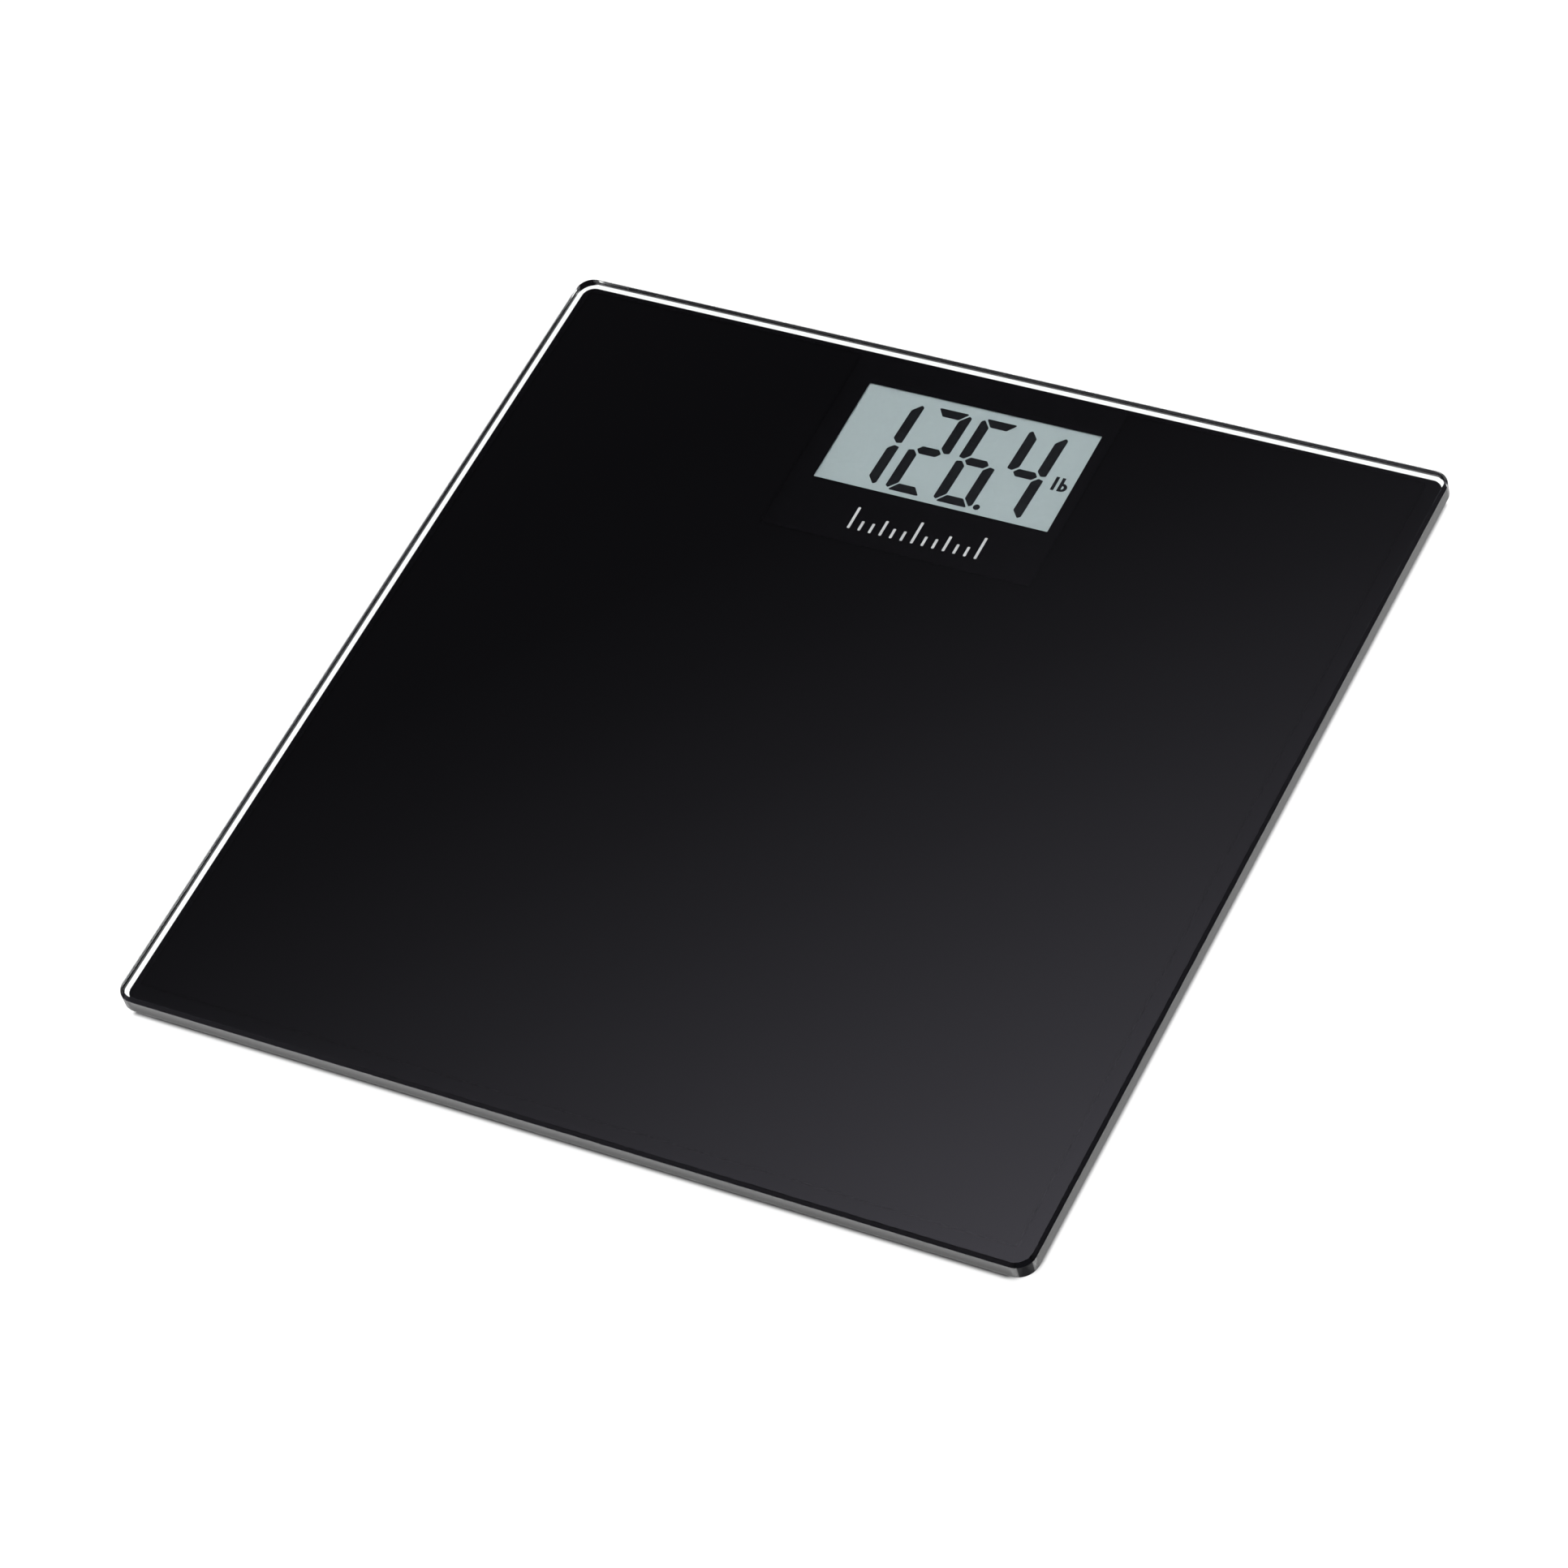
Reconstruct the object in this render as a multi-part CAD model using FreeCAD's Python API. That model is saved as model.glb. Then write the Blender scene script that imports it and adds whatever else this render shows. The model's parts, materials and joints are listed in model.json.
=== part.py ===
import FreeCAD, Part
import math
import os

# Glass-platform electronic bathroom scale, in millimetres.
# X runs to the right of a person reading the display, Y towards the display, Z up.
# The origin is on the floor, under the middle of the platform.

V = FreeCAD.Vector
UP = V(0, 0, 1)
ALONG_X = V(1, 0, 0)

# ---------------------------------------------------------------- driving dimensions

# platform
platform_side = 300.0
platform_corner = 6.0
glass_thickness = 6.0
total_height = 20.0
top_arris = 1.05
bottom_arris = 0.5
print_thickness = 0.12
print_inset = 2.1

# display window, clear of print
window_width = 80.0
window_depth = 40.0
window_y = 116.0

tape_thickness = 0.8

# corner pods, which are glued under the glass
pod_side = 46.5
pod_corner = 6.0
pod_inset = 7.0
pod_bottom = 1.5
pod_wall = 1.8
pod_roof = 1.6
pod_edge_break = 0.5
pod_tape_margin = 1.5
lead_way_inner = -10.0
lead_way_outer = -14.2
lead_groove_end = -12.0
cup_wall = 1.3
cup_depth = 0.6
cup_gap = 0.2

# feet, which slide up into the pods
foot_travel = 0.8
foot_gap = 0.4
foot_bottom = 0.7
foot_top = 7.0
lug_width = 8.0
lug_height = 1.5
lug_reach = 0.9
lug_gap = 0.05
lug_root = 1.0
pocket_gap = 0.5
foot_floor_top = 2.9
foot_edge_break = 0.4
foot_well_side = 27.0
foot_well_corner = 3.0
cell_gap = 0.3
pad_gap = 0.2
pad_side = 37.0
pad_corner = 4.0
pad_thickness = 1.6
pad_edge_break = 0.4
tread_groove_y = 9.5
tread_groove_width = 1.6
tread_groove_depth = 0.5

# load cell, a stamped steel plate with a bending tongue
cell_side = 34.0
cell_corner = 4.0
cell_thickness = 2.0
cell_bottom = 5.0
cell_slot = 2.5
cell_hole_radius = 1.5
cell_hole_margin = 3.2
stake_gap = 0.2
stake_proud = 0.4
tongue_half_width = 7.25
tongue_root = -9.0
tongue_tip = 12.0
bump_radius = 4.0
bump_height = 0.8
gauge_front_x = -9.5
gauge_back_x = -4.7
gauge_half_width = 3.5
gauge_thickness = 0.25
gauge_corner = 1.0

# silicone cushion between the tongue and the pod
cushion_radius = 5.0
cushion_thickness = 1.6

# electronics housing under the display
housing_left = -54.0
housing_right = 78.0
housing_front = 86.5
housing_back = 146.5
housing_corner = 4.0
housing_inner_corner = 1.0
housing_wall = 1.8
housing_roof = 1.5
housing_tape_margin = 0.4
cover_bottom = 2.5
cover_thickness = 1.8
cover_edge_break = 1.0
cover_lip_gap = 0.2
cover_lip_width = 0.9
cover_lip_height = 1.0
board_post_radius = 2.0
board_post_x = 36.0
board_post_rows = (95.0, 138.0)

# screws that hold the cover, up into posts in the housing
housing_screw_margin = 4.6
housing_screw_middle_x = 52.9
screw_post_radius = 2.6
screw_post_room_radius = 2.8
screw_pilot_radius = 1.15
screw_pilot_roof = 0.5
screw_hole_radius = 1.3
counterbore_radius = 2.6
counterbore_depth = 1.2
screw_head_radius = 2.3
screw_head_height = 1.0
screw_shank_radius = 1.1
screw_shank_length = 6.0
screw_edge_break = 0.3
recess_half_width = 0.3
recess_depth = 0.5
recess_share = 0.55

# liquid-crystal display stack
lcd_half_width = 43.0
lcd_front = 92.0
lcd_back = 141.0
lcd_ledge = 2.8
lcd_glass = 1.1
lcd_film = 0.2
gasket_thickness = 0.4
gasket_margin = 1.0
reflector_margin = 0.5
aperture_side_gap = 3.0
aperture_end_gap = 1.5
zebra_half_length = 38.0
zebra_width = 2.0
zebra_edge = 0.2
zebra_gap = 0.2
holder_side_wall = 2.0
holder_end_wall = 1.2
holder_gap = 0.2
holder_ear_radius = 2.5
holder_ear_height = 2.8
holder_pilot_radius = 0.9
holder_pilot_roof = 0.3
light_room_half_width = 41.0
light_room_front_margin = 2.0
light_room_back_margin = 5.0

# circuit board
board_half_width = 49.0
board_front = 91.0
board_back = 142.0
board_thickness = 1.2
board_bottom = 7.5
board_corner_cut = 5.0
board_screw_x = 46.5
board_screw_rows = (98.5, 134.5)
board_screw_hole_radius = 1.1
board_screw_head_radius = 1.7
board_screw_head_height = 0.8
board_screw_shank_radius = 0.85
board_screw_shank_length = 3.4

# parts on the underside of the board
resin_x = 4.0
resin_y = 118.0
resin_radius = 7.5
resin_height = 1.1
chip_rows = (101.0, 130.5)
chips_in_row = 5
chip_first_x = -22.0
chip_pitch = 11.0
chip_row_shift = 2.0
chip_length = 2.0
chip_width = 1.25
chip_height = 0.7
crystal_x = 22.0
crystal_y = 115.0
crystal_radius = 1.0
crystal_length = 6.0

# coin cell
coin_radius = 10.0
coin_thickness = 3.2
coin_x = 63.2
coin_y = 117.0
coin_bottom = 4.6
contact_width = 3.0
contact_thickness = 0.3
contact_gap = 0.5
contact_level = 1.4
contact_rise = 0.15
tail_level_end = 0.7
tail_foot = 1.4
finger_tip_x = 5.0
finger_touch_x = 3.0
finger_bend_x = -6.0
finger_root_x = -8.0
finger_tip_height = 0.2
finger_touch_height = 0.16
can_contact_gap = 0.2
can_contact_bottom = 0.4
negative_tail_offset = -5.0
positive_tail_offset = 7.0
coin_cap_height = 0.5
coin_cap_margin = 1.2
coin_edge_break = 0.3
pocket_wall_gap = 0.4
pocket_wall = 1.5
pocket_ceiling_gap = 1.6
pocket_side_opening = 1.2
pocket_tail_reach = 4.0
pocket_tail_bottom = 0.9

# battery door
door_half_width = 10.9
door_front = 103.0
door_back = 131.0
door_thickness = 1.6
door_gap = 0.3
hinge_radius = 1.1
hinge_pin_radius = 0.7
hinge_clearance = 0.05
hinge_pin_length = 1.4
hinge_ear_half_depth = 2.0
hinge_ear_above = 1.6
hinge_ear_wall = 0.3
hinge_hole_extra = 0.2
door_rib_x = 4.0
door_rib_half_width = 0.6
door_rib_half_length = 7.0
door_rib_gap = 0.1
latch_half_width = 3.5
latch_front = 1.4
latch_back = 0.2
latch_height = 2.4
scoop_radius = 9.0
scoop_depth = 1.0

# unit button
button_x = -30.0
button_y = 104.0
button_radius = 3.0
button_travel = 0.4
button_recess = 0.2
button_edge_break = 0.3
button_hole_gap = 0.2
flange_gap = 0.05
flange_thickness = 0.7
flange_reach = 1.2
plunger_radius = 1.7
plunger_inside = 0.8
plunger_gap = 0.1
switch_half_side = 3.0
switch_corner = 0.5

# load cell leads, three cores side by side
lead_radius = 0.5
lead_pitch = 1.25
lead_above = 0.1
lead_groove_room = 1.0
lead_groove_below = 0.2
lead_drop_radius = 2.2
lane_x = 87.0
lane_bend = 8.0
front_lead_y = 106.0
lead_tape_width = 11.0
lead_tape_thickness = 0.15
lead_tape_margin = 1.5
lead_tape_room = 0.3
lead_tape_slope = 1.0
lead_tape_under = 0.1
lead_start_x = 11.0
lead_start_height = 1.4
lead_pad_margin = 1.7
groove_inner_x = 45.0
groove_drop_inner_x = 46.0
groove_drop_outer_x = 50.2

# how far a tool body runs past the face it cuts, and how far joined bodies overlap
past = 1.0
joined = 0.1

# ---------------------------------------------------------------- levels and places worked out from them

glass_bottom = total_height - glass_thickness
print_bottom = glass_bottom - print_thickness
tape_bottom = print_bottom - tape_thickness

pod_centre = platform_side / 2 - pod_inset - pod_side / 2
pod_ceiling = tape_bottom - pod_roof
pod_half = pod_side / 2

foot_side = pod_side - 2 * pod_wall - 2 * foot_gap
foot_half = foot_side / 2
foot_corner = pod_corner - pod_wall - foot_gap
lug_bottom = foot_top - lug_height

cell_top = cell_bottom + cell_thickness
cushion_bottom = cell_top + bump_height
cushion_top = cushion_bottom + cushion_thickness

cover_inner = cover_bottom + cover_thickness
housing_ceiling = tape_bottom - housing_roof

lcd_top = print_bottom - gasket_thickness
lcd_front_glass_bottom = lcd_top - lcd_film - lcd_glass
lcd_rear_glass_bottom = lcd_front_glass_bottom - lcd_glass
lcd_bottom = lcd_rear_glass_bottom - lcd_film

board_top = board_bottom + board_thickness
coin_top = coin_bottom + coin_thickness

hinge_y = door_front + hinge_radius
hinge_z = cover_bottom + hinge_radius

lead_z = print_bottom - lead_radius - lead_above
lead_groove_width = 2 * lead_pitch + 2 * lead_radius + lead_groove_room
lead_groove_bottom = lead_z - lead_radius - lead_groove_below

# +1 to the right and to the back, -1 to the left and to the front
CORNERS = {
    "front_left": (-1, -1),
    "front_right": (1, -1),
    "back_left": (-1, 1),
    "back_right": (1, 1),
}

# ---------------------------------------------------------------- shapes used many times


def block(x0, x1, y0, y1, z0, z1):
    return Part.makeBox(x1 - x0, y1 - y0, z1 - z0, V(x0, y0, z0))


def rounded_block(x0, x1, y0, y1, z0, z1, radius):
    """A block with its four upright edges rounded."""
    shape = block(x0, x1, y0, y1, z0, z1)
    upright = [e for e in shape.Edges if abs(e.tangentAt(e.FirstParameter).z) > 0.9]
    return shape.makeFillet(radius, upright)


def rounded_square(side, z0, z1, radius):
    half = side / 2
    return rounded_block(-half, half, -half, half, z0, z1, radius)


def post(x, y, z0, z1, radius):
    return Part.makeCylinder(radius, z1 - z0, V(x, y, z0), UP)


def break_edges(shape, z, size):
    """Chamfers every edge of the shape that lies flat at height z."""
    flat = [e for e in shape.Edges if e.BoundBox.ZLength < 1e-6 and abs(e.BoundBox.ZMin - z) < 1e-6]
    return shape.makeChamfer(size, flat)


def one(shapes):
    """Joins touching or overlapping solids into one."""
    return shapes[0].fuse(shapes[1:]).removeSplitter()


def group(shapes):
    """Keeps solids separate, as one set."""
    return Part.makeCompound(shapes)


def strip(points, width, middle, thickness):
    """A bent metal strip: points (x, z) along its middle line, of a width in Y about middle."""
    rims = []
    for side in (1, -1):
        rim = []
        for i, (x, z) in enumerate(points):
            before = points[max(i - 1, 0)]
            after = points[min(i + 1, len(points) - 1)]
            length = math.hypot(after[0] - before[0], after[1] - before[1])
            normal = (-(after[1] - before[1]) / length, (after[0] - before[0]) / length)
            reach = side * thickness / 2
            rim.append(V(x + normal[0] * reach, middle - width / 2, z + normal[1] * reach))
        rims.append(rim)
    outline = rims[0] + rims[1][::-1]
    face = Part.Face(Part.makePolygon(outline + outline[:1]))
    return face.extrude(V(0, width, 0))


def in_corner(shape, corner):
    """Puts a shape made around the pod's own axis in its corner. Left pods are turned half round."""
    side_x, side_y = CORNERS[corner]
    placed = shape.copy()
    if side_x < 0:
        placed.rotate(V(0, 0, 0), UP, 180)
    placed.translate(V(side_x * pod_centre, side_y * pod_centre, 0))
    return placed


# ---------------------------------------------------------------- platform


def glass_platform():
    """Tempered glass plate with ground edges and bevelled arrises."""
    plate = rounded_square(platform_side, glass_bottom, total_height, platform_corner)
    plate = break_edges(plate, total_height, top_arris)
    return break_edges(plate, glass_bottom, bottom_arris)


def black_print():
    """Enamel printed on the underside of the glass, open at the display window."""
    side = platform_side - 2 * print_inset
    layer = rounded_square(side, print_bottom, glass_bottom, platform_corner - print_inset)
    half_width = window_width / 2
    half_depth = window_depth / 2
    window = block(-half_width, half_width, window_y - half_depth, window_y + half_depth,
                   print_bottom - 1, glass_bottom + 1)
    return layer.cut(window)


# ---------------------------------------------------------------- corner pods and feet


def pod_lead_groove(z0):
    """Room in the pod's roof for the load cell's lead: a groove to the inner side and a way down."""
    half = lead_groove_width / 2
    above = print_bottom + past
    groove = block(-pod_half - past, lead_groove_end, -half, half, lead_groove_bottom, above)
    way_down = block(lead_way_outer, lead_way_inner, -half, half, z0, above)
    return one([groove, way_down])


def pod_tape():
    """Foam adhesive square between the pod and the printed glass."""
    tape_corner = pod_corner - pod_tape_margin
    tape = rounded_square(pod_side - 2 * pod_tape_margin, tape_bottom, print_bottom, tape_corner)
    return tape.cut(pod_lead_groove(pod_ceiling - past))


def pod_base():
    """Pod that is open at the bottom, with pockets that hold the foot by its lugs."""
    inner_side = pod_side - 2 * pod_wall
    base = rounded_square(pod_side, pod_bottom, tape_bottom, pod_corner)
    base = break_edges(base, pod_bottom, pod_edge_break)
    base = base.cut(rounded_square(inner_side, pod_bottom - past, pod_ceiling, pod_corner - pod_wall))

    pocket_reach = inner_side / 2 + lug_reach
    pocket_half = lug_width / 2 + pocket_gap
    pocket_bottom = lug_bottom - lug_gap
    pocket_top = foot_top + foot_travel + pocket_gap
    across = block(-pocket_reach, pocket_reach, -pocket_half, pocket_half, pocket_bottom, pocket_top)
    along = block(-pocket_half, pocket_half, -pocket_reach, pocket_reach, pocket_bottom, pocket_top)
    base = base.cut([across, along])

    cup_radius = cushion_radius + cup_gap
    cup_rim = cushion_top - cup_depth
    boss = post(0, 0, cup_rim, pod_ceiling, cup_radius + cup_wall)
    boss = boss.cut(post(0, 0, cup_rim - past, cushion_top, cup_radius))
    return one([base, boss]).cut(pod_lead_groove(pod_ceiling - past))


def cushion():
    return post(0, 0, cushion_bottom, cushion_top, cushion_radius)


def load_cell():
    """Steel plate cut so that its middle is a tongue, with a raised bump that takes the load."""
    plate = rounded_square(cell_side, cell_bottom, cell_top, cell_corner)
    below = cell_bottom - past
    above = cell_top + past
    slot_outer = tongue_half_width + cell_slot
    cuts = []
    for side in (-1, 1):
        low, high = sorted((side * tongue_half_width, side * slot_outer))
        cuts.append(block(tongue_root, tongue_tip, low, high, below, above))
    cuts.append(block(tongue_tip - cell_slot, tongue_tip, -slot_outer, slot_outer, below, above))
    for x, y in cell_hole_places():
        cuts.append(post(x, y, below, above, cell_hole_radius))
    return one([plate.cut(cuts), post(0, 0, cell_top, cushion_bottom, bump_radius)])


def cell_hole_places():
    reach = cell_side / 2 - cell_hole_margin
    return [(x, y) for x in (-reach, reach) for y in (-reach, reach)]


def strain_gauge():
    """Gauge film on the root of the tongue, under its bead of sealant."""
    return rounded_block(gauge_front_x, gauge_back_x, -gauge_half_width, gauge_half_width,
                         cell_top, cell_top + gauge_thickness, gauge_corner)


def foot():
    """Square foot, with a ledge and four stakes for the load cell and a lug on each side."""
    body = rounded_square(foot_side, foot_bottom, foot_top, foot_corner)
    body = break_edges(body, foot_bottom, foot_edge_break)
    cell_room = rounded_square(cell_side + 2 * cell_gap, cell_bottom, foot_top + past, cell_corner)
    well = rounded_square(foot_well_side, foot_floor_top, cell_bottom + past, foot_well_corner)
    pad_room_side = pad_side + 2 * pad_gap
    pad_room = rounded_square(pad_room_side, foot_bottom - past, pad_thickness, pad_corner + pad_gap)
    body = body.cut([cell_room, well, pad_room])

    reach = foot_half + lug_reach
    half = lug_width / 2
    inner = foot_half - lug_root
    lugs = []
    for side in (-1, 1):
        low, high = sorted((side * inner, side * reach))
        lugs.append(block(low, high, -half, half, lug_bottom, foot_top))
        lugs.append(block(-half, half, low, high, lug_bottom, foot_top))
    stake_radius = cell_hole_radius - stake_gap
    stakes = [post(x, y, cell_bottom, cell_top + stake_proud, stake_radius) for x, y in cell_hole_places()]
    return one([body] + lugs + stakes)


def foot_pad():
    """Rubber pad with two grooves in its tread."""
    pad = rounded_square(pad_side, 0, pad_thickness, pad_corner)
    pad = break_edges(pad, 0, pad_edge_break)
    half = tread_groove_width / 2
    grooves = [block(-pad_side, pad_side, y - half, y + half, -past, tread_groove_depth)
               for y in (-tread_groove_y, tread_groove_y)]
    return pad.cut(grooves)


# ---------------------------------------------------------------- electronics housing


def housing_screw_places():
    margin = housing_screw_margin
    rows = (housing_front + margin, housing_back - margin)
    columns = (housing_left + margin, housing_screw_middle_x, housing_right - margin)
    return [(x, y) for x in columns for y in rows]


def housing_outline(z0, z1, inset):
    return rounded_block(housing_left + inset, housing_right - inset, housing_front + inset,
                         housing_back - inset, z0, z1, max(housing_corner - inset, housing_inner_corner))


def lcd_aperture(z0, z1, margin):
    """Room around the display stack, from z0 to z1."""
    half = lcd_half_width + aperture_side_gap + margin
    reach = aperture_end_gap + margin
    return block(-half, half, lcd_front - reach, lcd_back + reach, z0, z1)


def lead_grooves():
    """Grooves in the housing's roof where the four leads come in."""
    half = lead_groove_width / 2
    top = print_bottom + past
    left_end = housing_left - past
    right_end = housing_right + past
    grooves = []
    for y in (front_lead_y, pod_centre):
        grooves.append(block(left_end, -groove_inner_x, y - half, y + half, lead_groove_bottom, top))
        grooves.append(block(groove_inner_x, right_end, y - half, y + half, lead_groove_bottom, top))
        for side in (-1, 1):
            low, high = sorted((side * groove_drop_inner_x, side * groove_drop_outer_x))
            grooves.append(block(low, high, y - half, y + half, housing_ceiling - past, top))
    return grooves


def housing_tape():
    ring = housing_outline(tape_bottom, print_bottom, housing_tape_margin)
    opening = lcd_aperture(tape_bottom - past, print_bottom + past, housing_tape_margin)
    return ring.cut([opening] + lead_grooves())


def coin_pocket():
    """Round wall around the coin cell, closed above it, open for the contacts."""
    wall_inner = coin_radius + pocket_wall_gap
    wall_outer = wall_inner + pocket_wall
    ceiling = coin_top + pocket_ceiling_gap
    pocket = post(coin_x, coin_y, cover_inner + cover_lip_gap / 2, housing_ceiling + joined, wall_outer)
    room = post(coin_x, coin_y, cover_inner - past, ceiling, wall_inner)
    margin = contact_width / 2 + contact_gap
    outside = coin_x - wall_outer - past
    side_gap = block(outside, coin_x - coin_radius + pocket_side_opening,
                     coin_y - contact_width - contact_gap, coin_y + positive_tail_offset + margin,
                     cover_inner - past, ceiling)
    negative_y = coin_y + negative_tail_offset
    tail_gap = block(outside, coin_x - pocket_tail_reach, negative_y - margin, negative_y + margin,
                     coin_top + pocket_tail_bottom, ceiling)
    return pocket.cut([room, side_gap, tail_gap])


def housing_frame():
    """Walls, roof and screw posts. Its roof is glued to the glass around the display."""
    frame = housing_outline(cover_inner, tape_bottom, 0)
    frame = frame.cut(housing_outline(cover_inner - past, housing_ceiling, housing_wall))
    frame = frame.cut(lcd_aperture(housing_ceiling - past, tape_bottom + past, 0))
    places = housing_screw_places()
    posts = [post(x, y, cover_inner, housing_ceiling + joined, screw_post_radius) for x, y in places]
    frame = one([frame, coin_pocket()] + posts)
    pilot_top = housing_ceiling - screw_pilot_roof
    pilots = [post(x, y, cover_inner - past, pilot_top, screw_pilot_radius) for x, y in places]
    return frame.cut(pilots + lead_grooves())


def housing_cover():
    """Bottom cover, with the battery opening, the button hole and posts that press the board up."""
    cover = housing_outline(cover_bottom, cover_inner, 0)
    cover = break_edges(cover, cover_bottom, cover_edge_break)
    lip_inset = housing_wall + cover_lip_gap
    lip_top = cover_inner + cover_lip_height
    lip = housing_outline(cover_inner - joined, lip_top, lip_inset)
    lip = lip.cut(housing_outline(cover_inner - past, lip_top + past, lip_inset + cover_lip_width))
    posts = [post(x, y, cover_inner - joined, board_bottom, board_post_radius)
             for x in (-board_post_x, board_post_x) for y in board_post_rows]
    ear_inner = door_half_width + door_gap
    ear_outer = ear_inner + hinge_pin_length + hinge_ear_wall
    ears = [block(coin_x + left, coin_x + right, hinge_y - hinge_ear_half_depth,
                  hinge_y + hinge_ear_half_depth, cover_inner - joined, hinge_z + hinge_ear_above)
            for left, right in ((-ear_outer, -ear_inner), (ear_inner, ear_outer))]
    cover = one([cover, lip] + posts + ears)

    below = cover_bottom - past
    above = lip_top + past
    cuts = []
    for x, y in housing_screw_places():
        cuts.append(post(x, y, below, above, screw_hole_radius))
        cuts.append(post(x, y, below, cover_bottom + counterbore_depth, counterbore_radius))
        cuts.append(post(x, y, cover_inner, above, screw_post_room_radius))
    cuts.append(block(coin_x - ear_inner, coin_x + ear_inner, hinge_y - hinge_radius - door_gap,
                      door_back + door_gap, below, above))
    hole_reach = ear_inner + hinge_pin_length + hinge_hole_extra
    hole_start = V(coin_x - hole_reach, hinge_y, hinge_z)
    hole_radius = hinge_pin_radius + hinge_clearance
    cuts.append(Part.makeCylinder(hole_radius, 2 * hole_reach, hole_start, ALONG_X))
    cuts.append(post(button_x, button_y, below, cover_inner + past, button_radius + button_hole_gap))
    cuts.append(fingernail_scoop())
    return cover.cut(cuts)


def fingernail_scoop():
    """Shallow hollow beside the door's free edge, to lift the door by."""
    middle = V(coin_x, door_back + door_gap, cover_bottom - scoop_radius + scoop_depth)
    return Part.makeSphere(scoop_radius, middle)


def screw(x, y, z, head_radius, head_height, shank_radius, shank_length):
    """Screw that points up, with its head's underside at height z and a cross recess."""
    head = post(x, y, z - head_height, z, head_radius)
    head = break_edges(head, z - head_height, screw_edge_break)
    shank = post(x, y, z - joined, z + shank_length, shank_radius)
    reach = head_radius * recess_share
    blade = recess_half_width
    outside = z - head_height - past
    bottom = z - head_height + recess_depth
    cross = [block(x - reach, x + reach, y - blade, y + blade, outside, bottom),
             block(x - blade, x + blade, y - reach, y + reach, outside, bottom)]
    return one([head, shank]).cut(cross)


def housing_screws():
    seat = cover_bottom + counterbore_depth
    return group([screw(x, y, seat, screw_head_radius, screw_head_height, screw_shank_radius,
                        screw_shank_length) for x, y in housing_screw_places()])


def battery_door():
    """Flat door with hinge pins at its front edge, ribs that press on the cell and a latch tongue."""
    left = coin_x - door_half_width
    right = coin_x + door_half_width
    plate = block(left, right, hinge_y, door_back, cover_bottom, cover_bottom + door_thickness)
    barrel = Part.makeCylinder(hinge_radius, right - left, V(left, hinge_y, hinge_z), ALONG_X)
    pin_start = left - door_gap - hinge_pin_length
    pin_length = right - left + 2 * (door_gap + hinge_pin_length)
    pins = Part.makeCylinder(hinge_pin_radius, pin_length, V(pin_start, hinge_y, hinge_z), ALONG_X)
    plate_top = cover_bottom + door_thickness
    ribs = [block(x - door_rib_half_width, x + door_rib_half_width, coin_y - door_rib_half_length,
                  coin_y + door_rib_half_length, plate_top - joined, coin_bottom - door_rib_gap)
            for x in (coin_x - door_rib_x, coin_x + door_rib_x)]
    tongue = block(coin_x - latch_half_width, coin_x + latch_half_width, door_back - latch_front,
                   door_back - latch_back, plate_top - joined, plate_top + latch_height)
    return one([plate, barrel, pins, tongue] + ribs)


# ---------------------------------------------------------------- display


def lcd_gasket():
    """Foam ring between the display and the printed glass, just outside the window."""
    outer = block(-lcd_half_width, lcd_half_width, lcd_front, lcd_back, lcd_top, print_bottom)
    half_width = window_width / 2 + gasket_margin
    half_depth = window_depth / 2 + gasket_margin
    return outer.cut(block(-half_width, half_width, window_y - half_depth, window_y + half_depth,
                           lcd_top - past, print_bottom + past))


def lcd_front_polarizer():
    return block(-lcd_half_width, lcd_half_width, lcd_front, lcd_back - lcd_ledge, lcd_top - lcd_film, lcd_top)


def lcd_front_glass():
    return block(-lcd_half_width, lcd_half_width, lcd_front, lcd_back,
                 lcd_front_glass_bottom, lcd_top - lcd_film)


def lcd_rear_glass():
    return block(-lcd_half_width, lcd_half_width, lcd_front, lcd_back - lcd_ledge,
                 lcd_rear_glass_bottom, lcd_front_glass_bottom)


def lcd_reflector():
    half = lcd_half_width - reflector_margin
    return block(-half, half, lcd_front + reflector_margin, lcd_back - lcd_ledge - reflector_margin,
                 lcd_bottom, lcd_rear_glass_bottom)


def zebra_slot(margin):
    half = zebra_half_length + margin
    back = lcd_back - zebra_edge
    return block(-half, half, back - zebra_width - margin, back + margin, board_top, lcd_front_glass_bottom)


def zebra_strip():
    """Elastomer strip that joins the board to the contacts under the front glass's ledge."""
    return zebra_slot(0)


def lcd_holder():
    """Frame around the display stack, screwed to the board by four ears."""
    outer_half = lcd_half_width + holder_side_wall
    top = lcd_top - lcd_film
    body = block(-outer_half, outer_half, lcd_front - holder_end_wall, lcd_back + holder_end_wall,
                 board_top, top)
    radius = holder_ear_radius
    ear_top = board_top + holder_ear_height
    ears = [post(x, y, board_top, ear_top, radius) for x, y in board_screw_places()]
    links = [block(-board_screw_x, board_screw_x, y - radius, y + radius, board_top, ear_top)
             for y in board_screw_rows]
    body = one([body] + ears + links)
    stack_half = lcd_half_width + holder_gap
    stack_room = block(-stack_half, stack_half, lcd_front - holder_gap, lcd_back + holder_gap,
                       lcd_bottom, top + past)
    light_room = block(-light_room_half_width, light_room_half_width, lcd_front + light_room_front_margin,
                       lcd_back - light_room_back_margin, board_top - past, lcd_bottom + past)
    pilots = [post(x, y, board_top - past, ear_top - holder_pilot_roof, holder_pilot_radius)
              for x, y in board_screw_places()]
    return body.cut([stack_room, light_room, zebra_slot(zebra_gap)] + pilots)


# ---------------------------------------------------------------- circuit board


def board_screw_places():
    return [(x, y) for x in (-board_screw_x, board_screw_x) for y in board_screw_rows]


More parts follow.
